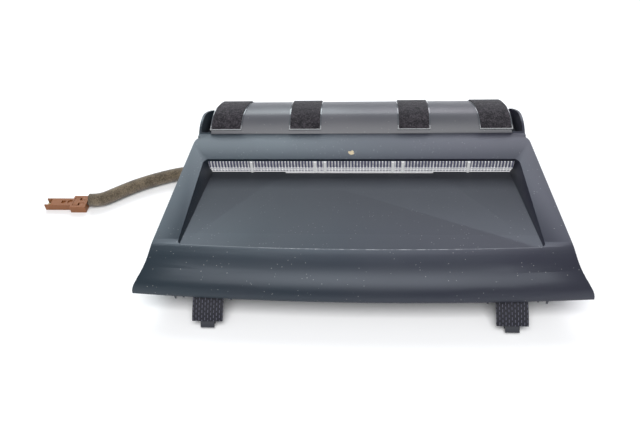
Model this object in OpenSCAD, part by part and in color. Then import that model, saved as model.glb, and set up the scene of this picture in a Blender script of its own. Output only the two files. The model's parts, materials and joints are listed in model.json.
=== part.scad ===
// High-level third brake light for a rear shelf: a trim cover with a sunken light channel,
// the lamp behind it, a padded hood, two sprung clips and a sleeved cable with its connector.
// X runs across the car, Y from the lip towards the hood, Z up. Z = 0 is the surface it rests on.

/* [Cover] */
// Width across the lip's corners
cover_w = 330; // [290:1:400]
// Depth from the lip's corners to the hood
cover_d = 171; // [155:1:210]
// Height of the frame face above the lip's edge
cover_h = 22; // [20:0.5:27]
// Height of the lip's edge above the surface it rests on
lift = 20; // [18:0.5:24]
// Wall of the cover
cover_wall = 2.4; // [2:0.1:2.9]
// How far the lip rolls out in front of the light channel
lip_run = 31; // [26:0.5:36]
// How far the lip bows forward at its middle
lip_bow = 6; // [3:0.5:8]
// How much each side flares out towards the lip's corner
side_flare = 11.5; // [5:0.5:14]
// How much narrower the frame is at the hood, each side
side_taper = 5.5; // [1:0.5:7]
// Radius of the cover's far corners
far_corner_r = 14; // [8:1:18]

/* [Light channel] */
// Width of the frame beside the channel
rim_w = 19.5; // [18:0.5:25]
// Width of the frame between the lens and the hood
far_border = 37.5; // [37:0.5:46]
// Depth of the channel at the lens
channel_drop = 13.5; // [12:0.5:17]
// How far each side wall of the channel leans in
channel_draft = 6; // [2:0.5:7]
// Radius of the channel's corners at the lens
channel_far_r = 7; // [4:0.5:10]
// Radius of the channel's corners at the lip
channel_near_r = 4; // [2:0.5:6]

/* [Lamp] */
// Thickness of the lens plate
lens_t = 3; // [2.4:0.2:3.6]
// Wall of the lamp housing
lamp_wall = 2; // [1.6:0.1:2.4]
// Number of lamp emitters
led_count = 12; // [8:1:16]
// Thickness of the circuit board
board_t = 1.6; // [1:0.2:2]
// Diameter of the felt cable sleeve
sleeve_d = 12; // [10:0.5:13]

/* [Hood] */
// Depth of the hood behind the cover
hood_d = 60; // [52:1:75]
// Rise of the hood above the frame face
hood_rise = 10; // [8:0.5:14]
// How much the hood narrows towards its back, each side
hood_taper = 6; // [2:0.5:8]
// Wall of the hood
hood_wall = 2.2; // [1.8:0.1:2.6]
// Gap beside the hood at each end
pocket_w = 9; // [7:0.5:11]
// Width of a felt pad
pad_w = 27; // [18:0.5:30]
// Thickness of a felt pad
pad_t = 1.2; // [0.8:0.1:1.6]
// Diameter of the fixing holes beside the hood
fixing_d = 4.4; // [3.6:0.1:5]

/* [Clips] */
// Distance of each clip from the lip's corner
clip_inset = 56; // [45:1:65]
// Width of the woven tape
tape_w = 22; // [18:0.5:26]
// Thickness of the woven tape
tape_t = 0.8; // [0.6:0.1:1]
// Width of the tab at the end of a clip
tab_w = 10; // [8:0.5:12]
// Thickness of a spring leg
leg_t = 1.2; // [1:0.1:1.4]

/* [Hidden] */
$fn = 48;

gap = 0.3;            // clearance between pieces that only sit side by side
eps = 0.01;
z_lip = lift;
z_top = lift + cover_h;
y_seam = cover_d;
y_lens = cover_d - far_border;
half_lip = cover_w / 2;
half_near = half_lip - side_flare;
half_far = half_near - side_taper;
channel_half = half_near - rim_w;
bow_r = half_lip * half_lip / (2 * lip_bow);
channel_len = y_lens - lip_run;
floor_half = channel_half - channel_draft;
z_floor = z_top - channel_drop;
land = 0.5;           // flat strip between the lip's roll and the channel
sink = 0.02;          // the lip's sweep lies this much lower than the flat face it runs into
y_flat = lip_run + land - lip_bow - cover_wall - 0.6;
lean = channel_draft / channel_drop;
notch_half = 64;      // the lower step of the lens shows between these
notch_d = 2.4;
near_drop = 1.2;      // step down from the lip into the channel

hood_half = half_far - 4 - pocket_w;
ear_out = hood_half + pocket_w + 2;
ear_wall = 2;
z_ear = z_lip + 6;
y_ear_end = y_seam + 0.72 * hood_d;
pad_mid = 0.37 * hood_half;

lens_half = floor_half + 4;
lens_low = z_floor - 2.6;
lens_top = z_top - cover_wall - 0.2;
lens_rim = 2.3;
gasket_t = 1;
y_gasket = y_lens + lens_t + lens_rim;
y_housing = y_gasket + gasket_t;
lamp_half = lens_half + 1.5;
lamp_d = 25;
y_lamp_end = y_housing + lamp_d;
back_t = 2;
board_gap = 12;       // from the housing's front wall to the board
y_board = y_housing + lamp_wall + board_gap;
z_light = (lens_low + 2 + lens_top - lamp_wall) / 2;
tray_half = lens_top - lamp_wall - 0.3 - z_light;
led_span = 2 * (lamp_half - 18);
led_pitch = led_span / (led_count - 1);
cup_r = min(6.4, led_pitch / 2 - 0.6, tray_half - 0.4);
standoffs = [-lamp_half + 12.5, -lamp_half / 2, lamp_half / 2, lamp_half - 12.5];
z_standoff = 14;
corner_x = lamp_half - lamp_wall - 2.4;
board_half = corner_x - 3.4;
corner_z = [6, lens_top - lamp_wall - 2.4];
z_cable = 15;
y_cable = y_housing + lamp_d - 6.4;
lead_gap = 3.4;

screw_r = 1.25;
head_r = 2.6;
housing_boss_x = lamp_half + 5.5;
housing_boss_y = y_housing + 9;
hood_screw_x = [-0.85 * hood_half, -0.3 * hood_half, 0.3 * hood_half, 0.85 * hood_half];
y_hood_screw = y_seam + 9;
flange_top = z_top - cover_wall - 0.4;
flange_t = 2.2;

clip_x = half_lip - clip_inset;
clip_lip = -lip_bow * (1 - pow(clip_x / half_lip, 2));
leg_w = tape_w - 2 * tape_t;

// ---------- helpers ----------
function unit(v) = v / norm(v);
function bezier(a, b, c, d, t) =
    pow(1 - t, 3) * a + 3 * t * pow(1 - t, 2) * b + 3 * t * t * (1 - t) * c + t * t * t * d;
function curve(a, b, c, d, n) = [for (i = [0 : n - 1]) bezier(a, b, c, d, i / n)];
function backwards(p) = [for (i = [len(p) - 1 : -1 : 0]) p[i]];
function left_of(p, i) =
    let (d = unit(p[min(i + 1, len(p) - 1)] - p[max(i - 1, 0)])) [-d[1], d[0]];
function moved(p, d) = [for (i = [0 : len(p) - 1]) p[i] + d * left_of(p, i)];
function band(p, a, b) = concat(moved(p, a), backwards(moved(p, b)));
function part_of(p, i, j) = [for (k = [i : j]) p[k]];

// A profile drawn in Y and Z, carried from x0 to x1
module across(x0, x1)
    translate([x0, 0, 0]) rotate([90, 0, 90]) linear_extrude(x1 - x0) children();

// Everything is drawn from the lip's corner line, then centred front to back
module place() translate([0, y_shift, 0]) children();
module both_sides() {
    children();
    mirror([1, 0, 0]) children();
}

// ---------- trim cover ----------
function flare_x(y, inset) =
    half_near - inset + side_flare * pow(1 - max(0, min(1, y / lip_run)), 3.7);

function cover_side(inset) = concat(
    [[half_lip - inset, -2 * lip_bow - 4]],
    [for (i = [0 : 9]) [flare_x(lip_run * i / 9, inset), lip_run * i / 9]],
    [for (i = [0 : 8]) let (a = 90 * i / 8) [
        half_far - inset - (far_corner_r - inset) * (1 - cos(a)),
        y_seam - inset - (far_corner_r - inset) * (1 - sin(a))]]
);

module cover_plan(inset) {
    side = cover_side(inset);
    polygon(concat(side, [for (p = backwards(side)) [-p[0], p[1]]]));
}

// The lip rolls over as a quarter ellipse and sweeps across the car on a wide radius
function lip_profile(inset) = [for (i = [0 : 14]) let (a = 90 * i / 14) [
    bow_r - lip_bow - lip_run + (lip_run - inset) * sin(a) + lip_bow,
    z_lip + (cover_h - inset - sink) * cos(a)]];

// Solid swept under the lip's surface, reaching `back` behind the start of the roll
module lip_sweep(inset, back, foot) translate([0, bow_r - lip_bow, 0]) rotate([0, 0, -96])
    rotate_extrude(angle = 12, $fn = 720) polygon(concat(
        [[bow_r - lip_bow - lip_run - back, foot], [bow_r - lip_bow - lip_run - back, z_top - inset - sink]],
        lip_profile(inset),
        inset > 0 ? [[bow_r - inset, foot]] : []));

module cover_block() intersection() {
    translate([0, 0, z_lip]) linear_extrude(cover_h + 2) cover_plan(0);
    union() {
        lip_sweep(0, 30, z_lip);
        translate([-cover_w, lip_run + 4, z_lip]) cube([2 * cover_w, cover_d, cover_h]);
    }
}

module lip_cavity() intersection() {
    translate([0, 0, z_lip - 1]) linear_extrude(cover_h + 2) cover_plan(cover_wall);
    lip_sweep(cover_wall, 12, z_lip - 1);
    translate([-cover_w, -cover_w, 0]) cube([2 * cover_w, cover_w + y_flat, 2 * z_top]);
}

module flat_cavity() difference() {
    intersection() {
        translate([0, 0, z_lip - 1]) linear_extrude(cover_h + 1 - cover_wall) cover_plan(cover_wall);
        translate([-cover_w, y_flat - eps, 0]) cube([2 * cover_w, cover_d, 2 * z_top]);
    }
    channel_space(cover_wall, y_lens);
}

// The light channel: a wedge that falls from the lip to the lens
function channel_near(x) = lip_run + land - lip_bow * (1 - pow(x / half_lip, 2));
function arc(c, r, a0, a1) = [for (i = [0 : 6]) let (a = a0 + (a1 - a0) * i / 6) c + r * [cos(a), sin(a)]];
function channel_plan(grow) = let (
    near_x = channel_half - channel_near_r,
    near_c = [near_x, channel_near(near_x) + channel_near_r],
    far_c = [channel_half - channel_far_r, y_lens + 1 - channel_far_r])
    concat(
        [for (i = [1 : 9]) let (x = near_x * (i / 5 - 1)) [x, channel_near(x) - grow]],
        arc(near_c, channel_near_r + grow, -90, 0),
        arc(far_c, channel_far_r + grow, 0, 90),
        [for (p = backwards(arc(far_c, channel_far_r + grow, 0, 90))) [-p[0], p[1]]],
        [for (p = backwards(arc(near_c, channel_near_r + grow, -90, 0))) [-p[0], p[1]]]);

module channel_wedge(grow, far) across(-channel_half - grow - eps, channel_half + grow + eps)
    polygon([
        [lip_run - lip_bow - 2, z_top - near_drop - grow * 1.2],
        [lip_run - lip_bow - 2, z_top + 1],
        [far, z_top + 1],
        [far, z_floor - grow]]);

module channel_space(grow, far) intersection() {
    channel_wedge(grow, far);
    translate([0, 0, z_floor - 5]) linear_extrude(channel_drop + 8) polygon(channel_plan(grow));
    rotate([90, 0, 0]) translate([0, 0, -y_lens - 20]) linear_extrude(y_lens + 40)
        polygon([
            [floor_half + grow - lean * 5, z_floor - 5],
            [channel_half + grow + lean * 2, z_top + 2],
            [-channel_half - grow - lean * 2, z_top + 2],
            [-floor_half - grow + lean * 5, z_floor - 5]]);
}

module ear_plan(inset) {
    far = y_ear_end - inset;
    x_in = hood_half + gap;
    x_out = ear_out - inset;
    polygon(concat(
        [[x_in - (inset > 0 ? 1 : 0), y_seam - 4], [x_out, y_seam - 4]],
        [for (i = [0 : 10]) let (a = 90 * i / 10)
            [x_out - (x_out - x_in) * (1 - cos(a)), far - 18 + 18 * sin(a)]],
        [[x_in - (inset > 0 ? 1 : 0), far]]));
}

module ear() {
    difference() {
        intersection() {
            translate([0, 0, z_ear]) linear_extrude(cover_h + hood_rise) ear_plan(0);
            across(0, cover_w) polygon(concat(
                [[y_seam - 8, z_ear - 1], [y_seam - 8, z_top - eps]],
                curve([y_seam, z_top - eps], [y_seam + 10, z_top + 7], [y_seam + 22, z_top + 8],
                    [y_ear_end + 2, z_top - 2], 12),
                [[y_ear_end + 2, z_ear - 1]]));
        }
        translate([0, 0, z_ear + 2.4]) linear_extrude(cover_h + hood_rise) intersection() {
            ear_plan(ear_wall);
            translate([0, y_seam + 1.5]) square([cover_w, cover_d]);
        }
        translate([hood_half + gap + (pocket_w - gap) / 2, y_seam + 18, 0])
            cylinder(d = fixing_d, h = z_top);
    }
}

module lip_rib(x, reach) {
    y = -lip_bow * (1 - pow(x / half_lip, 2));
    across(x - 0.7, x + 0.7) polygon([
        [y + cover_wall - 0.4, z_lip + 8], [y + cover_wall - 0.4, z_lip + 1],
        [y + cover_wall + 0.6, z_lip - reach], [y + cover_wall + 4, z_lip + 3],
        [y + cover_wall + 4, z_lip + 8]]);
}

module trim_cover() color("#545962") place() {
    difference() {
        union() {
            difference() {
                cover_block();
                lip_cavity();
                flat_cavity();
                across(-cover_w, cover_w) polygon([
                    [lip_run, z_lip - 2], [lip_run, z_lip], [y_seam, z_ear],
                    [y_seam + 5, z_ear], [y_seam + 5, z_lip - 2]]);
            }
            both_sides() ear();
            across(-hood_half + 8, hood_half - 8) polygon([
                [y_seam - cover_wall, z_top - cover_wall + eps], [y_seam, z_top - cover_wall + eps],
                [y_seam, flange_top], [y_seam + 15, flange_top],
                [y_seam + 15, flange_top - flange_t],
                [y_seam - cover_wall, flange_top - flange_t]]);
            both_sides() translate([housing_boss_x, housing_boss_y, z_top - 14])
                cylinder(r = 4, h = 14 - cover_wall + eps);
            both_sides() translate([clip_x, clip_screw_y, z_bracket + 3])
                cylinder(r = 3.6, h = z_top - z_bracket - 6.4);
            both_sides() {
                lip_rib(clip_x + 25, 6.4);
                lip_rib(clip_x + 18.5, 4.6);
                lip_rib(clip_x - 17, 4.6);
            }
        }
        channel_space(0, y_lens + eps);
        translate([-notch_half, y_lens - notch_d, z_floor - 8]) cube([2 * notch_half, notch_d + 1, 8.5]);
        both_sides() translate([housing_boss_x, housing_boss_y, z_top - 15])
            cylinder(r = screw_r, h = 11);
        both_sides() translate([clip_x, clip_screw_y, z_bracket])
            cylinder(r = screw_r, h = 9);
        for (x = hood_screw_x) translate([x, y_hood_screw, flange_top - 5]) cylinder(r = 1.7, h = 10);
    }
}

// ---------- hood and pads ----------
hood_top = concat(
    curve([y_seam + gap, z_top], [y_seam + 7, z_top + 0.55 * hood_rise],
        [y_seam + 14, z_top + hood_rise], [y_seam + 21, z_top + hood_rise], 12),
    curve([y_seam + 21, z_top + hood_rise], [y_seam + 30, z_top + hood_rise],
        [y_seam + hood_d - 20, z_top + 0.75 * hood_rise], [y_seam + hood_d - 11, z_top + 0.3 * hood_rise], 10),
    curve([y_seam + hood_d - 11, z_top + 0.3 * hood_rise], [y_seam + hood_d - 6, z_top + 0.05 * hood_rise],
        [y_seam + hood_d, z_top - 10], [y_seam + hood_d, z_lip], 12),
    [[y_seam + hood_d, z_lip]]
);

// The hood seen from above, narrower at its back
function hood_plan(inset) = let (near = hood_half - inset, far = near - hood_taper)
    [[near, y_seam - 1], [far, y_seam + hood_d + 1], [-far, y_seam + hood_d + 1], [-near, y_seam - 1]];
module upright(p) translate([0, 0, z_lip - 1]) linear_extrude(cover_h + hood_rise + 4) polygon(p);

module rear_hood() color("#6b7077") place() difference() {
    union() {
        intersection() {
            across(-hood_half, hood_half) polygon(band(hood_top, 0, -hood_wall));
            upright(hood_plan(0));
        }
        intersection() {
            across(-hood_half, hood_half) polygon(concat(
                moved(hood_top, -hood_wall / 2),
                [[y_seam + 16, z_lip], [y_seam + 16, z_top - 1], [y_seam + gap + 1.4, z_top - 1]]));
            difference() {
                upright(hood_plan(0));
                upright(hood_plan(hood_wall));
            }
        }
        intersection() {
            for (x = hood_screw_x) translate([x, y_hood_screw, flange_top])
                cylinder(r = 3.2, h = z_top + hood_rise - flange_top);
            across(-hood_half, hood_half) polygon(concat(
                moved(hood_top, -hood_wall / 2), [[y_seam + gap + 1.4, z_lip]]));
        }
    }
    for (x = hood_screw_x) translate([x, y_hood_screw, flange_top - 1])
        cylinder(r = screw_r, h = 7);
}

// A felt strip, slanted where it follows the hood's end
module felt_pad(x, slant = 0) color("#3b373e") place() intersection() {
    across(-hood_half, hood_half) polygon(band(part_of(hood_top, 2, 27), pad_t, 0));
    upright([for (p = [[0, -1], [pad_w, -1], [pad_w + slant, hood_d + 1], [slant, hood_d + 1]])
        p + [x - pad_w / 2, y_seam]]);
}

// ---------- lamp ----------
module lens() color("#d8dde4", 0.6) place() union() {
    translate([-lens_half, y_lens + 0.1, lens_low])
        cube([2 * lens_half, lens_t - 0.1, lens_top - lens_low]);
    translate([-notch_half + 0.4, y_lens - notch_d + 0.4, lens_low])
        cube([2 * notch_half - 0.8, notch_d, 1.8]);
    difference() {
        translate([-lens_half, y_lens + lens_t - eps, lens_low])
            cube([2 * lens_half, lens_rim + eps, lens_top - lens_low]);
        translate([-lens_half + 2, y_lens, lens_low + 2])
            cube([2 * lens_half - 4, lens_rim * 4, lens_top - lens_low - 4]);
    }
}

module ring_box(y, d, grow, wall) difference() {
    translate([-lens_half - grow, y, lens_low - grow])
        cube([2 * (lens_half + grow), d, lens_top - lens_low + grow]);
    translate([-lens_half + wall, y - 1, lens_low + wall])
        cube([2 * (lens_half - wall), d + 2, lens_top - lens_low - 2 * wall]);
}

module lens_gasket() color("#202022") place() ring_box(y_gasket, gasket_t, 0, 2);

module lamp_housing() color("#2c2d31") place() difference() {
    union() {
        translate([-lamp_half, y_housing, 0]) cube([2 * lamp_half, lamp_d, lens_top]);
        both_sides() translate([0, housing_boss_y - 5, z_top - 17.2])
            cube([housing_boss_x + 5, 10, 3]);
    }
    difference() {
        translate([-lamp_half + lamp_wall, y_housing + lamp_wall, lamp_wall])
            cube([2 * (lamp_half - lamp_wall), lamp_d, lens_top - 2 * lamp_wall]);
        for (x = standoffs) translate([x, y_housing, z_standoff]) rotate([-90, 0, 0])
            cylinder(r = 3.2, h = lamp_wall + board_gap);
        both_sides() for (z = corner_z)
            translate([corner_x, y_housing, z]) rotate([-90, 0, 0]) cylinder(r = 3, h = lamp_d);
    }
    translate([-lens_half + 2, y_housing - 1, lens_low + 2])
        cube([2 * lens_half - 4, lamp_wall + 2, lens_top - lens_low - 4]);
    for (x = standoffs) translate([x, y_board + 1, z_standoff]) rotate([90, 0, 0])
        cylinder(r = screw_r, h = 9);
    both_sides() for (z = corner_z)
        translate([corner_x, y_lamp_end + 1, z]) rotate([90, 0, 0]) cylinder(r = screw_r, h = 9);
    both_sides() translate([housing_boss_x, housing_boss_y, z_top - 20]) cylinder(r = 1.7, h = 10);
    translate([-lamp_half - 1, y_cable, z_cable]) rotate([0, 90, 0]) cylinder(r = 5, h = lamp_wall + 2);
}

module lamp_back_cover() color("#2a2b2e") place() difference() {
    union() {
        translate([-lamp_half, y_lamp_end, 0.4]) cube([2 * lamp_half, back_t, lens_top - 0.4]);
        translate([-lamp_half + 12, y_lamp_end - 2, 3]) cube([2 * lamp_half - 24, 2.5, 2]);
    }
    both_sides() for (z = corner_z)
        translate([corner_x, y_lamp_end - 1, z]) rotate([-90, 0, 0]) cylinder(r = 1.7, h = 5);
}

module reflector() color("#d9dcdf") place() difference() {
    translate([-board_half, y_housing + lamp_wall + 0.2, z_light - tray_half])
        cube([2 * board_half, board_gap - 1.8, 2 * tray_half]);
    for (i = [0 : led_count - 1])
        translate([i * led_pitch - led_span / 2, y_housing + lamp_wall, z_light]) rotate([-90, 0, 0]) {
            translate([0, 0, 0.1]) cylinder(r1 = cup_r, r2 = 2.6, h = board_gap - 4);
            cylinder(r = 2.5, h = board_gap);
        }
}

module led_board() color("#1f5b3a") place() difference() {
    translate([-board_half, y_board, 8.5])
        cube([2 * board_half, board_t, lens_top - lamp_wall - 9]);
    for (x = standoffs) translate([x, y_board - 1, z_standoff]) rotate([-90, 0, 0])
        cylinder(r = 1.7, h = board_t + 2);
}

module leds() color("#b3121a") place() for (i = [0 : led_count - 1])
    translate([i * led_pitch - led_span / 2, y_board, z_light]) {
        translate([-1.7, -1.2, -1.4]) cube([3.4, 1.2, 2.8]);
        translate([0, -1.2 + eps, 0]) rotate([90, 0, 0]) cylinder(r1 = 1.2, r2 = 0.8, h = 0.7);
    }

module resistors() color("#18181a") place() for (i = [0 : 5])
    translate([i * 24 - 66, y_board + board_t, 19]) cube([3.2, 0.7, 1.6]);

module protection_diode() color("#101012") place()
    translate([-lamp_half + 46, y_board + board_t, 12]) cube([4.4, 2.2, 2.6]);

module board_header() color("#e6e2d3") place()
    translate([-lamp_half + 21, y_board + board_t, z_cable - 4.5]) cube([13, 7, 8]);

module screw(length) {
    translate([0, 0, -eps]) cylinder(r = screw_r, h = length + eps);
    translate([0, 0, -1.6]) cylinder(r = head_r, h = 1.6);
}

module board_screws() color("#b9bcc0") place() for (x = standoffs)
    translate([x, y_board + board_t, z_standoff]) rotate([90, 0, 0]) screw(8);

module back_cover_screws() color("#b9bcc0") place() both_sides() for (z = corner_z)
    translate([corner_x, y_lamp_end + back_t, z]) rotate([90, 0, 0]) screw(9);

module housing_screws() color("#b9bcc0") place() both_sides()
    translate([housing_boss_x, housing_boss_y, z_top - 17.2]) screw(11);

module hood_screws() color("#b9bcc0") place() for (x = hood_screw_x)
    translate([x, y_hood_screw, flange_top - flange_t]) screw(7);

module inner_leads() color("#161616") place() for (side = [-1, 1])
    translate([-lamp_half + lamp_wall + 2, y_cable, z_cable + side * lead_gap / 2]) rotate([0, 90, 0])
        cylinder(r = 0.9, h = 19 - lamp_wall);

// ---------- clips ----------
// Centre line of a spring leg, from its root down to the tab, and the tongue behind it
leg_line = [for (p = concat(
        curve([8.7, 7.5], [6.6, 3.6], [5.4, 1.2], [3.4, -2.4], 5),
        curve([3.4, -2.4], [0.2, -6.8], [-7.0, -9.4], [-10.4, -14.6], 7),
        [[-10.4, -14.6], [-12.0, -16.4], [-13.4, -18.2]])) p + [clip_lip + 1, z_lip]];
tape_last = 12;
tongue_line = concat(
    [for (p = moved(leg_line, 5)) if (p[1] < z_lip + 4 && p[1] > 2.5) p],
    [[clip_lip - 7.4, -2]]);
z_bracket = z_lip + 10;
clip_screw_y = clip_lip + 19;
tongue_w = 9.2;
y_front = min([for (p = concat(moved(leg_line, -leg_t / 2), tape_front())) p[0]]);
y_shift = -(y_seam + hood_d + y_front) / 2;

function tape_front() = [for (i = [0 : tape_last])
    leg_line[i] - (leg_t / 2 + tape_t * (1 + 0.9 * sin(180 * i / tape_last))) * left_of(leg_line, i)];

// The leg's rolled root turns in a half-round seat under the bracket
bead_r = 1.3;
module bead(r, half) translate([-half, leg_line[0][0], leg_line[0][1]]) rotate([0, 90, 0])
    cylinder(r = r, h = 2 * half);

module spring_leg() {
    bead(bead_r, leg_w / 2);
    across(-leg_w / 2, leg_w / 2)
        polygon(band(part_of(leg_line, 0, tape_last - 1), leg_t / 2, -leg_t / 2));
    across(-tab_w / 2, tab_w / 2) polygon(band(leg_line, leg_t / 2, -leg_t / 2));
}

module clip_tape() difference() {
    across(-tape_w / 2, tape_w / 2)
        polygon(concat(part_of(tape_front(), 2, tape_last),
            backwards(part_of(moved(leg_line, leg_t / 2 + tape_t), 2, tape_last))));
    across(-leg_w / 2, leg_w / 2) polygon(band(part_of(leg_line, 1, tape_last - 1), leg_t / 2, -leg_t / 2));
    across(-tab_w / 2, tab_w / 2) polygon(band(leg_line, leg_t / 2, -leg_t / 2));
}

module clip_bracket() {
    difference() {
        across(-tape_w / 2 - 1.5, tape_w / 2 + 1.5) polygon([
            [leg_line[0][0] + 1.6, z_bracket - 1], [leg_line[0][0] - 0.6, z_bracket + 0.2],
            [leg_line[0][0] + 3, z_bracket + 3], [clip_screw_y + 5, z_bracket + 3],
            [clip_screw_y + 5, z_bracket - 1]]);
        translate([0, clip_screw_y, z_bracket - 5]) cylinder(r = 1.7, h = 10);
        bead(bead_r + 0.1, tape_w);
    }
    difference() {
        bead(bead_r + 1.3, tape_w / 2);
        bead(bead_r + 0.1, tape_w);
        translate([-tape_w, -cover_w, 0]) cube([2 * tape_w, 2 * cover_w, leg_line[0][1] + 0.4]);
    }
    difference() {
        across(-tongue_w / 2, tongue_w / 2) polygon(concat(
            [[leg_line[0][0] + 7, z_bracket]],
            moved(tongue_line, 1.25),
            backwards(moved(tongue_line, -1.25)),
            [[leg_line[0][0] + 3, z_bracket]]));
        translate([-tongue_w, -cover_w, -9]) cube([2 * tongue_w, 2 * cover_w, 9]);
    }
}

module left_clip_bracket() color("#26272b") place() translate([-clip_x, 0, 0]) clip_bracket();
module right_clip_bracket() color("#26272b") place() translate([clip_x, 0, 0]) clip_bracket();
module left_spring_leg() color("#343640") place() translate([-clip_x, 0, 0]) spring_leg();
module right_spring_leg() color("#343640") place() translate([clip_x, 0, 0]) spring_leg();
module left_clip_tape() color("#232330") place() translate([-clip_x, 0, 0]) clip_tape();
module right_clip_tape() color("#232330") place() translate([clip_x, 0, 0]) clip_tape();
module clip_screws() color("#b9bcc0") place() both_sides()
    translate([clip_x, clip_screw_y, z_bracket - 1]) screw(10);

// ---------- cable and connector ----------
sleeve_end = -241.2;
cable_start = [-lamp_half - 3, y_cable + y_shift, z_cable];
sleeve_route = [
    cable_start, [-144, 50.4, 12], [-156, 51, 8], [-170, 50, 6.4], [-188, 42.5, 6.4],
    [-205, 33, 6.4], [-219, 22.5, 6.4], [-228, 15.5, 6.4], [-235, 13, 6.4], [sleeve_end, 12.6, 6.4]
];
sleeve_sides = 12;
plug_y = 10.6;
plug_x = -243.4;
plug_h = 6.4;
latch_root = 2.1;
plug_len = 38.4;
plug_body = 14;

module cable_grommet() color("#17171a") place() translate([-lamp_half, y_cable, z_cable]) rotate([0, 90, 0]) {
    cylinder(r = 4.9, h = lamp_wall);
    translate([0, 0, -3]) cylinder(r = 7, h = 3);
    translate([0, 0, lamp_wall]) cylinder(r = 6, h = 2);
}

function route_dir(p, i) = unit(p[min(i + 1, len(p) - 1)] - p[max(i - 1, 0)]);
function ring(c, d, r, n) = let (
    s = unit(cross([0, 0, 1], d)), u = cross(d, s))
    [for (k = [0 : n - 1]) c + r * (cos(360 * k / n) * s + sin(360 * k / n) * u)];

module tube(route, r, n) {
    m = len(route);
    polyhedron(
        points = [for (i = [0 : m - 1]) each ring(route[i], i == 0 || i == m - 1 ? [-1, 0, 0] : route_dir(route, i), r, n)],
        faces = concat(
            [[for (k = [n - 1 : -1 : 0]) k]],
            [for (i = [0 : m - 2], k = [0 : n - 1]) each [
                [i * n + k, i * n + (k + 1) % n, (i + 1) * n + k],
                [i * n + (k + 1) % n, (i + 1) * n + (k + 1) % n, (i + 1) * n + k]]],
            [[for (k = [0 : n - 1]) (m - 1) * n + k]]),
        convexity = 4);
}

module cable_sleeve() color("#73664f") tube(sleeve_route, sleeve_d / 2, sleeve_sides);

module connector_wires() color("#131315") for (i = [-1 : 1])
    translate([plug_x, plug_y + 2 + 2.7 * i, plug_h / 2 + 0.8]) rotate([0, 90, 0]) cylinder(r = 1.1, h = sleeve_end - plug_x);

module connector_body() color("#be7d50") translate([plug_x, plug_y, 0]) difference() {
    union() {
        translate([-plug_body, -7.8, 0]) cube([plug_body, 15.6, plug_h]);
        translate([-plug_len, -4.7, 0.4]) cube([plug_len - plug_body + eps, 9.4, plug_h - 0.8]);
    }
    translate([-12.5, -5.2, plug_h - 2.6]) cube([6.5, 10.4, 5]);
    translate([-6.5, -2.3, plug_h - 2.6]) cube([5, 4.6, 5]);
    translate([-plug_len - 1, -3.5, 1.7]) cube([12, 7, plug_h - 3.4]);
    translate([-plug_len - 1, -3.5, 1.7]) cube([6, 7, plug_h]);
    translate([-24, -1.6, plug_h - 1.8]) cube([4, 3.2, 5]);
    translate([-plug_body - 2, 0, plug_h - 1.3]) cylinder(r = 2.4, h = 5);
}

module connector_latch() color("#b97848") translate([plug_x, plug_y, 0]) {
    translate([-12.1, -4.6, plug_h - 1.1]) cube([4.5, 9.2, 1.1]);
    translate([-7.7, -1.8, plug_h - 1.1]) cube([7.7 - latch_root, 3.6, 1.1]);
    translate([-latch_root, -1.8, plug_h - 0.55]) rotate([-90, 0, 0]) cylinder(r = 0.55, h = 3.6);
}

module connector_terminals() color("#c9b27a") translate([plug_x, plug_y, 0]) for (i = [-1 : 1])
    translate([1 - plug_len, i * 2.2 - 0.6, plug_h / 2 - 0.4]) cube([10, 1.2, 0.8]);

trim_cover();
rear_hood();
lens();
lens_gasket();
lamp_housing();
lamp_back_cover();
reflector();
led_board();
leds();
resistors();
protection_diode();
board_header();
board_screws();
housing_screws();
hood_screws();
back_cover_screws();
inner_leads();
felt_pad(-hood_half + pad_w / 2, hood_taper);  // felt_pad_left
felt_pad(-pad_mid + 1.2);  // felt_pad_mid_left
felt_pad(pad_mid - 1);  // felt_pad_mid_right
felt_pad(hood_half - pad_w / 2, -hood_taper);  // felt_pad_right
left_clip_bracket();
right_clip_bracket();
left_spring_leg();
right_spring_leg();
left_clip_tape();
right_clip_tape();
clip_screws();
cable_grommet();
cable_sleeve();
connector_wires();
connector_body();
connector_latch();
connector_terminals();
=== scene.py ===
# %% [markdown]
# # A third brake light for a rear shelf
# The real object is a wide moulded cover with a sunken channel that lets a fluted lens shine
# out, a padded hood behind it, two sprung clips under its lip, and a felt-sleeved cable. The
# frame below brings in every solid piece at its true size, in metres. Here each piece gets its
# finish, and the ones whose look needs more than the plain solid are modelled again on top.

import json
import math

import bpy
from mathutils import Matrix, Vector

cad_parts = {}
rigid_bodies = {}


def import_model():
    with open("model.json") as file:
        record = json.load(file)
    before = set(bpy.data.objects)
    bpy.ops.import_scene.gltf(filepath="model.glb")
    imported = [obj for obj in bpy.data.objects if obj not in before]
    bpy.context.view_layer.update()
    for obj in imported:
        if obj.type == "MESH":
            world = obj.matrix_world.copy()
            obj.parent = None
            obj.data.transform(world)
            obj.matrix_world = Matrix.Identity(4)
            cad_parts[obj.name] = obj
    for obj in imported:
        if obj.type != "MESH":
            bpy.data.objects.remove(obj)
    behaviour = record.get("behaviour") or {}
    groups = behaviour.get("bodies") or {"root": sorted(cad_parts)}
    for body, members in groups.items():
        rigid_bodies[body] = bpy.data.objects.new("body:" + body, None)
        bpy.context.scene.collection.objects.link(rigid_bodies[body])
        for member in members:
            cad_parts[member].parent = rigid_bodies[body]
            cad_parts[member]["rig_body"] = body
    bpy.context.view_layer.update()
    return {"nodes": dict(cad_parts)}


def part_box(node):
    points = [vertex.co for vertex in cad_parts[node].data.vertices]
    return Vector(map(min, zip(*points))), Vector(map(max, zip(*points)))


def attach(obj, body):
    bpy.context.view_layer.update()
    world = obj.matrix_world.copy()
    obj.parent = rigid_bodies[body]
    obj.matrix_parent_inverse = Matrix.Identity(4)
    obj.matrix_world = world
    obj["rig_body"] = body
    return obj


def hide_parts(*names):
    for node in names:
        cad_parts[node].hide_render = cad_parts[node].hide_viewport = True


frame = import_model()
MM = 0.001
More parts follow.
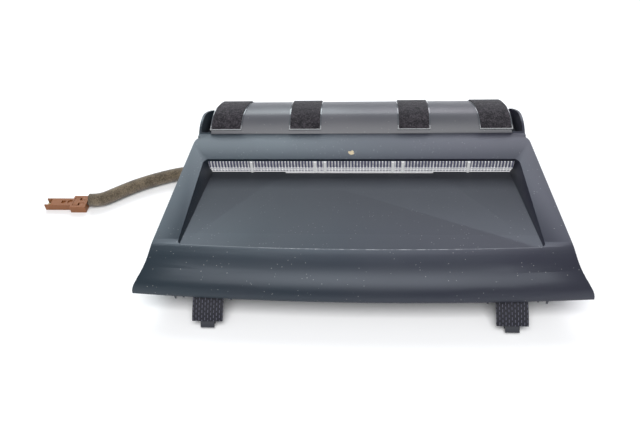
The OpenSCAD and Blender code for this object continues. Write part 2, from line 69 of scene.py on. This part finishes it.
SEAM_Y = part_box("rear_hood")[0].y

# %% [markdown]
# The camera stands in front of the lip, well above it, turned a little to the left and leaning
# a little, with a moderate lens. A camera's matrix is built from its own three axes, because
# that states yaw, pitch and roll plainly.

# %% Camera
YAW, PITCH, ROLL = 0.0904, 0.7325, -0.0556
CAMERA_AT = Vector((0.0026, -0.3972, 0.3615))
FOCAL_MM, SENSOR_MM = 34.8, 36


def camera_axes(yaw, pitch, roll):
    """The camera's right, up and back directions."""
    right = Vector((math.cos(yaw), math.sin(yaw), 0))
    ahead = Vector((-math.sin(yaw), math.cos(yaw), 0))
    forward = ahead * math.cos(pitch) - Vector((0, 0, math.sin(pitch)))
    up = ahead * math.sin(pitch) + Vector((0, 0, math.cos(pitch)))
    turned_right = right * math.cos(roll) + up * math.sin(roll)
    turned_up = up * math.cos(roll) - right * math.sin(roll)
    return turned_right, turned_up, -forward


bpy.ops.object.camera_add(location=CAMERA_AT)
camera = bpy.context.object
camera.name = "studio_camera"
camera.data.lens = FOCAL_MM
camera.data.sensor_width = SENSOR_MM
camera.data.clip_start = 0.01
rows = Matrix(camera_axes(YAW, PITCH, ROLL)).transposed().to_4x4()
camera.matrix_world = Matrix.Translation(CAMERA_AT) @ rows
bpy.context.scene.camera = camera
print("camera lens", camera.data.lens, "mm")

# %% [markdown]
# A finish is a material whose nodes come from one method, which takes a node's type, its
# settings and its inputs. The textures and blends used again and again are short methods on it.

# %% Materials and their nodes


class Finish:
    """A material and the nodes in it."""

    def __init__(self, name, **constants):
        self.material = bpy.data.materials.new(name)
        self.material.use_nodes = True
        self.tree = self.material.node_tree
        self.surface = self.tree.nodes["Principled BSDF"]
        self.place = self.node("ShaderNodeTexCoord").out("Object")
        for socket, value in constants.items():
            self.surface.inputs[socket.replace("_", " ")].default_value = value

    def node(self, kind, settings=None, **inputs):
        made = self.tree.nodes.new(kind)
        for key, value in (settings or {}).items():
            setattr(made, key, value)
        for key, value in inputs.items():
            socket = int(key[1:]) if key[1:].isdigit() else key.replace("_", " ")
            self.feed(made.inputs[socket], value)
        return Made(self, made)

    def feed(self, socket, value):
        if isinstance(value, Wire):
            self.tree.links.new(value.socket, socket)
        else:
            socket.default_value = value

    def set(self, **inputs):
        for name, value in inputs.items():
            self.feed(self.surface.inputs[name.replace("_", " ")], value)

    def noise(self, scale, detail=3.0, roughness=0.5):
        return self.node("ShaderNodeTexNoise", Vector=self.place, Scale=scale,
                         Detail=detail, Roughness=roughness).out("Fac")

    def specks(self, scale):
        return self.node("ShaderNodeTexVoronoi", Vector=self.place, Scale=scale).out("Distance")

    def ramp(self, value, low, high):
        return self.node("ShaderNodeMapRange", {"interpolation_type": "SMOOTHSTEP"}, Value=value,
                         From_Min=low, From_Max=high).out("Result")

    def mix(self, amount, first, second):
        return self.node("ShaderNodeMix", {"data_type": "RGBA"}, i0=amount,
                         i6=first, i7=second).out(2)

    def bump(self, height, distance, strength=1.0, under=None):
        made = self.node("ShaderNodeBump", Height=height, Distance=distance, Strength=strength)
        if under is not None:
            self.feed(made.made.inputs["Normal"], under)
        return made.out("Normal")

    def axes(self):
        split = self.node("ShaderNodeSeparateXYZ", Vector=self.place)
        return split.out("X"), split.out("Y"), split.out("Z")


print("finish helper ready")

# %% [markdown]
# A shader is a long chain of sums. One small class wraps a node's output, so that the chain
# reads as arithmetic, and each sum adds its own Math node.

# %% Shader arithmetic


class Made:
    """A node just made, whose outputs are picked by name."""

    def __init__(self, finish, made):
        self.finish, self.made = finish, made

    def out(self, name):
        return Wire(self.finish, self.made.outputs[name])


class Wire:
    """A node's output, with arithmetic."""

    def __init__(self, finish, socket):
        self.finish, self.socket = finish, socket

    def math(self, operation, other=0.0, turned=False):
        first, second = (other, self) if turned else (self, other)
        return self.finish.node("ShaderNodeMath", {"operation": operation},
                                i0=first, i1=second).out("Value")

    def __add__(self, other):
        return self.math("ADD", other)

    def __sub__(self, other):
        return self.math("SUBTRACT", other)

    def __mul__(self, other):
        return self.math("MULTIPLY", other)

    def __rsub__(self, other):
        return self.math("SUBTRACT", other, turned=True)

    __radd__ = __add__
    __rmul__ = __mul__

    def absolute(self):
        return self.math("ABSOLUTE")

    def sine(self):
        return self.math("SINE")

    def fraction(self):
        return self.math("FRACT")

    def whole(self):
        return self.math("FLOOR")

    def above(self, edge):
        return self.math("GREATER_THAN", edge)

    def below(self, edge):
        return self.math("LESS_THAN", edge)


def paint(piece, finish):
    """Give a piece one finish."""
    piece.data.materials.clear()
    piece.data.materials.append(finish.material)


print("shader arithmetic ready")

# %% [markdown]
# The cable comes next. On the real object three thin wires run in a felt tube that leaves the
# lamp's left side, drops to the table and ends just short of the connector. A few chosen points
# are blended into a smooth route.

# %% The cable's route
SLEEVE_D = 12 * MM
CABLE_AT = (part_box("cable_grommet")[0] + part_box("cable_grommet")[1]) / 2
EXIT = Vector((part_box("cable_sleeve")[1].x, CABLE_AT.y, CABLE_AT.z))
ROUTE = [EXIT] + [Vector(p) * MM for p in (
    (-144, 50.4, 12), (-156, 51, 8), (-170, 50, 6.4), (-188, 42.5, 6.4), (-205, 33, 6.4),
    (-219, 22.5, 6.4), (-228, 15.5, 6.4), (-235, 13, 6.4), (-241.2, 12.6, 6.4))]


def fine_route(points, steps):
    """The same route with more points, rounded by a Catmull-Rom blend."""
    padded = [points[0]] + points + [points[-1]]
    out = []
    for a, b, c, d in zip(padded, padded[1:], padded[2:], padded[3:]):
        for step in range(steps):
            t = step / steps
            out.append(0.5 * ((2 * b) + (c - a) * t + (2 * a - 5 * b + 4 * c - d) * t * t
                              + (3 * b - a - 3 * c + d) * t ** 3))
    return out + [points[-1]]


route = fine_route(ROUTE, 3)
sleeve_length = sum((b - a).length for a, b in zip(route, route[1:]))
print("route", round(sleeve_length * 1000, 1), "mm long,", len(route), "points")

# %% [markdown]
# A curve with a round bevel is the plainest way to make a tube that follows a route. It becomes
# a mesh, with its caps merged to its wall, so that its box is its true one. It is 0.3 mm thinner
# than the solid, to stay inside it.

# %% The cable's sleeve
SLEEVE_INSET = 0.15 * MM
bpy.ops.object.select_all(action="DESELECT")
bpy.ops.curve.primitive_nurbs_path_add()
sleeve = bpy.context.object
sleeve.name = "felt_sleeve"
sleeve.data.splines.clear()
line = sleeve.data.splines.new("POLY")
line.points.add(len(route) - 1)
for point, at in zip(line.points, route):
    point.co = (*at, 1)
sleeve.data.dimensions = "3D"
sleeve.data.bevel_depth = SLEEVE_D / 2 - SLEEVE_INSET
sleeve.data.bevel_resolution = 10
sleeve.data.use_fill_caps = True
bpy.ops.object.convert(target="MESH")
sleeve = bpy.context.object
bpy.ops.object.mode_set(mode="EDIT")
bpy.ops.mesh.select_all(action="SELECT")
bpy.ops.mesh.remove_doubles(threshold=0.01 * MM)
bpy.ops.mesh.normals_make_consistent(inside=False)
bpy.ops.mesh.faces_shade_smooth()
bpy.ops.object.mode_set(mode="OBJECT")
bpy.ops.object.shade_smooth_by_angle(angle=math.radians(40))
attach(sleeve, "unit")
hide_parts("cable_sleeve")
print("sleeve", len(sleeve.data.polygons), "faces")

# %% [markdown]
# The felt of the sleeve is a khaki needle felt with lighter fibres, a soft nap and a few
# pressed, darker places. Fine noise makes the fibres and coarse noise the clumps, and both raise
# the surface.

# %% Sleeve felt
felt_tube = Finish("sleeve_felt", Roughness=0.95, Sheen_Weight=0.35, Sheen_Roughness=0.5)
fibre = felt_tube.noise(900, 4, 0.7)
clump = felt_tube.noise(130, 3, 0.6)
shade = felt_tube.ramp(fibre * 0.6 + clump * 0.4, 0.35, 0.68)
felt_tube.set(
    Base_Color=felt_tube.mix(shade, (0.050, 0.037, 0.023, 1), (0.205, 0.160, 0.105, 1)),
    Normal=felt_tube.bump(fibre, 0.5 * MM, 0.8, felt_tube.bump(clump, 1.2 * MM, 0.6)))
paint(sleeve, felt_tube)
print("sleeve painted")

# %% [markdown]
# The cover is one moulding in a dark blue-grey plastic with a fine spark-eroded grain. Its
# edges are slightly rounded, which is what draws the thin light lines round the channel. A
# merged copy of the solid keeps the exact shape, and a bevel on its sharp edges adds those
# lines.

# %% Copies with softened edges


def merged_copy(node, name):
    """A clean copy of a solid, which replaces it and moves with its body."""
    source = frame["nodes"][node]
    piece = bpy.data.objects.new(name, source.data.copy())
    bpy.context.scene.collection.objects.link(piece)
    bpy.ops.object.select_all(action="DESELECT")
    piece.select_set(True)
    bpy.context.view_layer.objects.active = piece
    bpy.ops.object.mode_set(mode="EDIT")
    bpy.ops.mesh.select_all(action="SELECT")
    bpy.ops.mesh.remove_doubles(threshold=0.004 * MM)
    bpy.ops.mesh.dissolve_limited(angle_limit=math.radians(0.3))
    bpy.ops.object.mode_set(mode="OBJECT")
    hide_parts(node)
    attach(piece, source["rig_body"])
    return piece


def soften(piece, width):
    """Round every edge sharper than 30 degrees, and shade the rest smooth."""
    bpy.ops.object.select_all(action="DESELECT")
    piece.select_set(True)
    bpy.context.view_layer.objects.active = piece
    edge = piece.modifiers.new("edge", "BEVEL")
    edge.width, edge.segments, edge.angle_limit = width, 2, math.radians(30)
    edge.limit_method = "ANGLE"
    edge.use_clamp_overlap = True
    bpy.ops.object.modifier_apply(modifier=edge.name)
    bpy.ops.object.shade_smooth_by_angle(angle=math.radians(28))
    print(piece.name, len(piece.data.polygons), "faces")
    return piece


cover = soften(merged_copy("trim_cover", "cover_moulding"), 0.35 * MM)

# %% [markdown]
# The cover's finish: a fine grain in bump and roughness, a faint cooler tint towards the left
# that is a painted reflection, dust specks, a thin painted highlight along the near edge of the
# channel, and one pale flake stuck to the frame behind the lens. Deep in the channel the colour
# is darkened as painted shade, and the plastic is duller.

# %% Cover plastic
COVER_D = 171.3 * MM
LIP_Y = SEAM_Y - COVER_D
HIGHLIGHT_LINE_Y = LIP_Y + 25.5 * MM
BOW = 6 / 165 ** 2 / MM
FLAKE_X, FLAKE_Y = -6.8 * MM, LIP_Y + 142.5 * MM
SHADE_FROM_Z, SHADE_TO_Z = 41 * MM, 31 * MM
plastic = Finish("cover_plastic", Specular_IOR_Level=0.55, Specular_Tint=(0.84, 0.91, 1.0, 1))
px, py, pz = plastic.axes()
grain = plastic.noise(2300, 2, 0.6)
cloud = plastic.noise(14, 4, 0.55)
speck = plastic.specks(330).below(0.11) * plastic.noise(60, 2).above(0.50)
# Painted reflection: the base colour turns cooler and a little lighter towards the left, standing
# in for a bluish reflection on that side.
side = plastic.ramp(px, -0.15, 0.15)
reflection_tinted_base = plastic.mix(side, (0.010, 0.019, 0.027, 1), (0.016, 0.015, 0.027, 1))
worn = plastic.mix(plastic.ramp(cloud, 0.35, 0.7) * 0.5, reflection_tinted_base, (0.020, 0.022, 0.031, 1))
# Painted highlight: a thin pale line along the channel's near edge, faint all along and stronger,
# broken by noise, near the middle.
off_highlight_line = (py - HIGHLIGHT_LINE_Y - px * px * BOW).absolute()
painted_edge_highlight = plastic.ramp(off_highlight_line, 0.7 * MM, 0.1 * MM) * px.absolute().below(131 * MM)
highlight_middle = plastic.ramp((px - 12 * MM).absolute(), 100 * MM, 60 * MM)
broken_edge_highlight = painted_edge_highlight * (0.25 + highlight_middle * plastic.ramp(plastic.noise(160, 4, 0.7), 0.42, 0.66))
flake_x = (px - FLAKE_X) * (1 / (3.2 * MM))
flake_y = (py - FLAKE_Y) * (1 / (4.2 * MM))
flake_edge = plastic.noise(420, 4, 0.7) * 3.2
flake = (flake_x * flake_x + flake_y * flake_y + flake_edge).below(2.05)
dirt = plastic.mix(speck * 0.5, worn, (0.34, 0.34, 0.33, 1))
# The painted edge highlight is mixed into the colour here.
with_edge_highlight = plastic.mix(broken_edge_highlight * 0.75, dirt, (0.36, 0.37, 0.38, 1))
# Painted shade: deep in the channel the colour is darkened towards near black by height, and the
# same mask makes the plastic duller.
in_channel = py.above(LIP_Y + 45 * MM) * px.absolute().below(150 * MM)
painted_channel_shade = plastic.ramp(pz, SHADE_FROM_Z, SHADE_TO_Z) * in_channel
coloured = plastic.mix(flake * 0.85, with_edge_highlight, (0.52, 0.40, 0.22, 1))
plastic.set(Base_Color=plastic.mix(painted_channel_shade * 0.75, coloured, (0.004, 0.004, 0.007, 1)),
            Roughness=0.36 + 0.12 * cloud + 0.16 * painted_channel_shade,
            Normal=plastic.bump(grain, 0.06 * MM, 0.55))
paint(cover, plastic)
print("cover painted")

# %% [markdown]
# The hood is the same plastic, smoother and a little lighter, smeared by hands and with dust on
# it. A broad noise changes its colour and its gloss together, as grease does.

# %% Hood plastic
hood = soften(merged_copy("rear_hood", "hood_moulding"), 0.3 * MM)
hood_finish = Finish("hood_plastic", Specular_IOR_Level=0.5)
smear = hood_finish.noise(22, 4, 0.6)
fine = hood_finish.noise(2200, 2, 0.5)
dust = hood_finish.specks(240).below(0.07)
smeared = hood_finish.mix(smear, (0.062, 0.066, 0.078, 1), (0.100, 0.098, 0.110, 1))
hood_finish.set(
    Base_Color=hood_finish.mix(dust * 0.5, smeared, (0.4, 0.4, 0.4, 1)),
    Roughness=0.30 + 0.14 * smear, Normal=hood_finish.bump(fine, 0.04 * MM, 0.4))
paint(hood, hood_finish)
print("hood painted")

# %% [markdown]
# The felt over the hood is nearly black with paler hairs, so its colour and its bump share one
# noise.

# %% Felt of the strips
pad_felt = Finish("pad_felt", Roughness=0.95, Sheen_Weight=0.08, Sheen_Roughness=0.5)
hairs = pad_felt.noise(760, 5, 0.75)
tufts = pad_felt.noise(260, 3, 0.6)
light = pad_felt.ramp(hairs * 0.7 + tufts * 0.3, 0.42, 0.66)
lint = pad_felt.specks(330).below(0.07)
haired = pad_felt.mix(light, (0.006, 0.005, 0.008, 1), (0.060, 0.052, 0.062, 1))
pad_felt.set(
    Base_Color=pad_felt.mix(lint * 0.5, haired, (0.4, 0.38, 0.36, 1)),
    Normal=pad_felt.bump(hairs, 0.5 * MM, 0.9, pad_felt.bump(tufts, 0.8 * MM, 0.6)))


film = Finish("strip_film", Roughness=0.18, Coat_Weight=0.6)
film.set(Base_Color=film.mix(film.noise(200, 3), (0.05, 0.055, 0.065, 1), (0.12, 0.13, 0.145, 1)))
print("felt and film ready")

# %% [markdown]
# Each strip is a thin sheet laid over the hood, with a glossy backing film a little wider and
# lower than it, which shows as a bright edge.

# %% Strips over the hood
FILM_EXTRA = 2.2 * MM
FILM_SHIFT = (0, -0.6 * MM, -0.75 * MM)


for place in ("left", "mid_left", "mid_right", "right"):
    pad = merged_copy("felt_pad_" + place, "felt_strip_" + place)
    soften(pad, 0.35 * MM)
    paint(pad, pad_felt)
    low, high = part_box("felt_pad_" + place)
    wide = high.x - low.x
    backing = merged_copy("felt_pad_" + place, "strip_film_" + place)
    bpy.ops.object.mode_set(mode="EDIT")
    bpy.ops.mesh.select_all(action="SELECT")
    bpy.ops.transform.resize(value=((wide + FILM_EXTRA) / wide, 1, 1),
                             center_override=(low + high) / 2)
    bpy.ops.transform.translate(value=FILM_SHIFT)
    bpy.ops.object.mode_set(mode="OBJECT")
    paint(backing, film)

# %% [markdown]
# The lens is a plate with a row of half-round flutes in front, a few ribs across its lower half
# and six posts. All of them are half cylinders, so one helper makes them, and another repeats a
# piece along a line.

# %% Half-round ribs
LENS_LOW, LENS_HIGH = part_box("lens")
LENS_FACE = LENS_LOW.y + 2.1 * MM
LENS_HALF = LENS_HIGH.x
FLUTE = 2.7 * MM
WINDOW_LOW = LENS_LOW.z + 2.6 * MM


def half_round(name, radius, length, along, at):
    """A half-round rib, flat side towards +Y."""
    bpy.ops.object.select_all(action="DESELECT")
    turn = (0, 0, 0) if along == "Z" else (0, math.pi / 2, 0)
    bpy.ops.mesh.primitive_cylinder_add(vertices=16, radius=radius, depth=length,
                                        rotation=turn, location=at)
    rib = bpy.context.object
    rib.name = name
    bpy.ops.object.transform_apply(location=True, rotation=True, scale=True)
    bpy.ops.object.mode_set(mode="EDIT")
    bpy.ops.mesh.select_all(action="SELECT")
    bpy.ops.mesh.bisect(plane_co=(at[0], at[1] + 0.02 * radius, at[2]), plane_no=(0, 1, 0),
                        use_fill=True, clear_outer=True)
    bpy.ops.object.mode_set(mode="OBJECT")
    return rib


def row_of(piece, step, count):
    """A row of copies in one mesh."""
    row = piece.modifiers.new("row", "ARRAY")
    row.count = count
    row.use_relative_offset = False
    row.use_constant_offset = True
    row.constant_offset_displace = step
    bpy.context.view_layer.objects.active = piece
    bpy.ops.object.modifier_apply(modifier=row.name)
    return piece


print("lens window", round((LENS_HIGH.z - WINDOW_LOW) / MM, 1), "mm tall")

# %% [markdown]
# One flute is made and an array repeats it, which keeps them exactly even. The ribs and posts
# then join the plate.

# %% The fluted lens
POSTS = (29, 37.5, 93)
FLUTES = int(2 * (LENS_HALF - 2 * MM) / FLUTE)
first_x = -FLUTE * (FLUTES - 1) / 2
tall = LENS_HIGH.z - WINDOW_LOW
ribs = [row_of(half_round("flutes", 0.85 * MM, tall * 0.96, "Z",
                          (first_x, LENS_FACE, WINDOW_LOW + tall / 2)), (FLUTE, 0, 0), FLUTES)]
for share in (0.06, 0.22, 0.38):
    ribs.append(half_round("cross_rib", 0.7 * MM, 2 * LENS_HALF - 3 * MM, "X",
                           (0, LENS_FACE - 0.35 * MM, WINDOW_LOW + tall * share)))
for post_x in (*(-x for x in reversed(POSTS)), *POSTS):
    ribs.append(half_round("post", 1.5 * MM, tall * 0.97, "Z",
                           (post_x * MM, LENS_FACE - 0.2 * MM, WINDOW_LOW + tall / 2)))
lens = soften(merged_copy("lens", "fluted_lens"), 0.15 * MM)
for rib in ribs:
    rib.select_set(True)
bpy.context.view_layer.objects.active = lens
bpy.ops.object.join()
bpy.ops.object.shade_smooth_by_angle(angle=math.radians(40))
print("lens", FLUTES, "flutes,", len(lens.data.polygons), "faces")

# %% [markdown]
# The lens's colour holds painted light: painted highlights on each flute's crest broken by
# painted glints, painted shade between them, and painted bright bars in its lower band and lines
# along the posts. The pattern follows the same flute width as the shape.

# %% Lens finish
lens_finish = Finish("clear_lens", Roughness=0.16, IOR=1.49, Specular_IOR_Level=0.7)
lx, ly, lz = lens_finish.axes()
across = ((lx - first_x) * (1 / FLUTE) + 0.5).fraction() - 0.5
# Painted highlights on the flute crests; between them the colour stays dark as painted shade.
painted_crest_highlight = lens_finish.ramp(across.absolute(), 0.30, 0.08)
low_band = lens_finish.ramp(lz, WINDOW_LOW + tall * 0.47, WINDOW_LOW + tall * 0.40)
up = ((lz - WINDOW_LOW) * (1 / (tall * 0.16)) + 0.12).fraction() - 0.5
# Painted bright bars across the lower band.
painted_bar_light = lens_finish.ramp(up.absolute(), 0.34, 0.14)
# Painted bright lines along the posts.
painted_post_light = 0
for post_x in POSTS:
    from_post = (lx.absolute() - post_x * MM).absolute()
    painted_post_light = lens_finish.ramp(from_post, 1.9 * MM, 0.8 * MM) + painted_post_light
# Painted glints break up the crest highlights.
painted_glints = lens_finish.ramp(lens_finish.noise(210, 4, 0.7), 0.34, 0.62)
painted_flute_light = painted_crest_highlight * (0.45 + 0.55 * painted_glints)
painted_lens_light = painted_flute_light.math("MAXIMUM", low_band * painted_bar_light).math("MAXIMUM", painted_post_light)
# The lens colour runs from painted shade between the flutes to white painted highlights.
lens_finish.set(Base_Color=lens_finish.mix(painted_lens_light, (0.13, 0.13, 0.20, 1), (1.0, 1.0, 1.0, 1)))
paint(lens, lens_finish)
print("lens painted")

# %% [markdown]
# The pieces behind and below need only plain plastics and metals, each with a fine grain and a
# slight change of gloss. One helper makes them all from a few numbers.

# %% Plain moulded finishes


def moulded(name, color, roughness, metallic=0.0, depth=0.04):
    made = Finish(name, Metallic=metallic)
    mottling = made.noise(40, 3)
    fine_grain = made.noise(1500, 2, 0.6)
    darker = tuple(c * 0.75 for c in color) + (1,)
    made.set(Base_Color=made.mix(mottling, darker, (*color, 1)),
             Roughness=roughness + 0.12 * mottling, Normal=made.bump(fine_grain, depth * MM, 0.5))
    return made


print("moulded finishes ready")

# %% [markdown]
# The tape round the clips is woven cloth. Staggered dashes in narrow columns are its raised
# threads, and a sine wave adds the fine ribs between them.

# %% Woven tape
tape = Finish("woven_tape", Roughness=0.6)
tx, ty, tz = tape.axes()
COLUMN_W, STITCH_L = 2.15 * MM, 3.6 * MM
column = tx * (1 / COLUMN_W)
along = (ty * 0.75 + tz * 0.66) * (1 / STITCH_L)
run = along + column.whole() * 0.5 + tape.noise(300, 2) * 0.25
float_x = tape.ramp((column.fraction() - 0.5).absolute(), 0.18, 0.06)
float_y = tape.ramp((run.fraction() - 0.5).absolute(), 0.36, 0.24)
rib_wave = (tx * (4 * math.pi / COLUMN_W)).sine()
stitch = float_x * float_y
thread = stitch * (0.5 + 0.5 * tape.noise(800, 3))
tape.set(Base_Color=tape.mix(thread, (0.003, 0.003, 0.010, 1), (0.14, 0.14, 0.19, 1)),
         Normal=tape.bump(stitch + rib_wave * 0.3, 0.35 * MM, 0.8))
print("tape ready")

# %% [markdown]
# Every remaining solid takes its finish by name, and alike pieces share one.

# %% The finishes of the plain nodes
FINISHES = {
    "lens_gasket": moulded("foam_seal", (0.02, 0.02, 0.022), 0.8, depth=0.2),
    "lamp_housing": moulded("housing_plastic", (0.022, 0.023, 0.026), 0.42),
    "reflector": moulded("silvered_tray", (0.85, 0.86, 0.88), 0.08, metallic=1.0, depth=0.01),
    "led_board": moulded("circuit_board", (0.02, 0.10, 0.05), 0.3),
    "leds": moulded("red_emitter", (0.45, 0.02, 0.02), 0.12),
    "resistors": moulded("black_component", (0.02, 0.02, 0.02), 0.4),
    "board_header": moulded("header_plastic", (0.7, 0.66, 0.56), 0.4),
    "cable_grommet": moulded("grommet_rubber", (0.014, 0.014, 0.016), 0.6),
    "connector_wires": moulded("wire_jacket", (0.012, 0.012, 0.013), 0.4),
    "connector_body": moulded("connector_plastic", (0.26, 0.092, 0.028), 0.42),
    "connector_terminals": moulded("terminal_metal", (0.72, 0.60, 0.32), 0.25, metallic=1.0),
    "clip_screws": moulded("screw_steel", (0.56, 0.57, 0.60), 0.28, metallic=1.0),
    "left_clip_bracket": moulded("clip_plastic", (0.026, 0.028, 0.038), 0.4),
    "left_clip_tape": tape,
}
SAME = {
    "lamp_back_cover": "lamp_housing", "protection_diode": "resistors",
    "inner_leads": "connector_wires", "connector_latch": "connector_body",
    "right_clip_bracket": "left_clip_bracket", "left_spring_leg": "left_clip_bracket",
    "right_spring_leg": "left_clip_bracket", "right_clip_tape": "left_clip_tape",
    "board_screws": "clip_screws", "housing_screws": "clip_screws",
    "hood_screws": "clip_screws", "back_cover_screws": "clip_screws",
}
for node_name, made in FINISHES.items():
    paint(frame["nodes"][node_name], made)
for node_name, twin in SAME.items():
    paint(frame["nodes"][node_name], FINISHES[twin])
print("painted", len(FINISHES) + len(SAME), "plain nodes")

# %% [markdown]
# A white table, a soft light in front and two behind with slightly different tints light the
# gloss of the frame from both sides. The Standard view transform keeps the table white.

# %% Floor and light
bpy.ops.object.select_all(action="DESELECT")
bpy.ops.mesh.primitive_plane_add(size=8, location=(0, 0, 0))
floor = bpy.context.object
floor.name = "table_top"
white = Finish("white_table", Roughness=0.9)
white.set(Base_Color=(0.95, 0.95, 0.955, 1))
paint(floor, white)


def softbox(name, at, aim, size, power, color=(1, 1, 1)):
    bpy.ops.object.light_add(type="AREA", location=at)
    box = bpy.context.object
    box.name = name
    box.data.shape = "RECTANGLE"
    box.data.size, box.data.size_y = size
    box.data.energy, box.data.color = power, color
    box.rotation_euler = (Vector(aim) - Vector(at)).to_track_quat("-Z", "Y").to_euler()
    print(name, power, "W")


softbox("front_box", (0.0, -0.85, 1.45), (0, 0, 0), (1.5, 1.3), 27)
softbox("back_box_left", (-0.6, 1.9, 1.5), (0, 0, 0.1), (1.2, 1.5), 29, (0.88, 0.97, 1.0))
softbox("back_box_right", (0.6, 1.9, 1.5), (0, 0, 0.1), (1.2, 1.5), 20, (0.95, 0.93, 1.0))
bpy.context.scene.view_settings.view_transform = "Standard"
world = bpy.data.worlds.new("pale_room")
bpy.context.scene.world = world
world.use_nodes = True
air = world.node_tree.nodes["Background"]
air.inputs["Color"].default_value = (0.93, 0.96, 1.0, 1)
air.inputs["Strength"].default_value = 0.30
print("lights set")
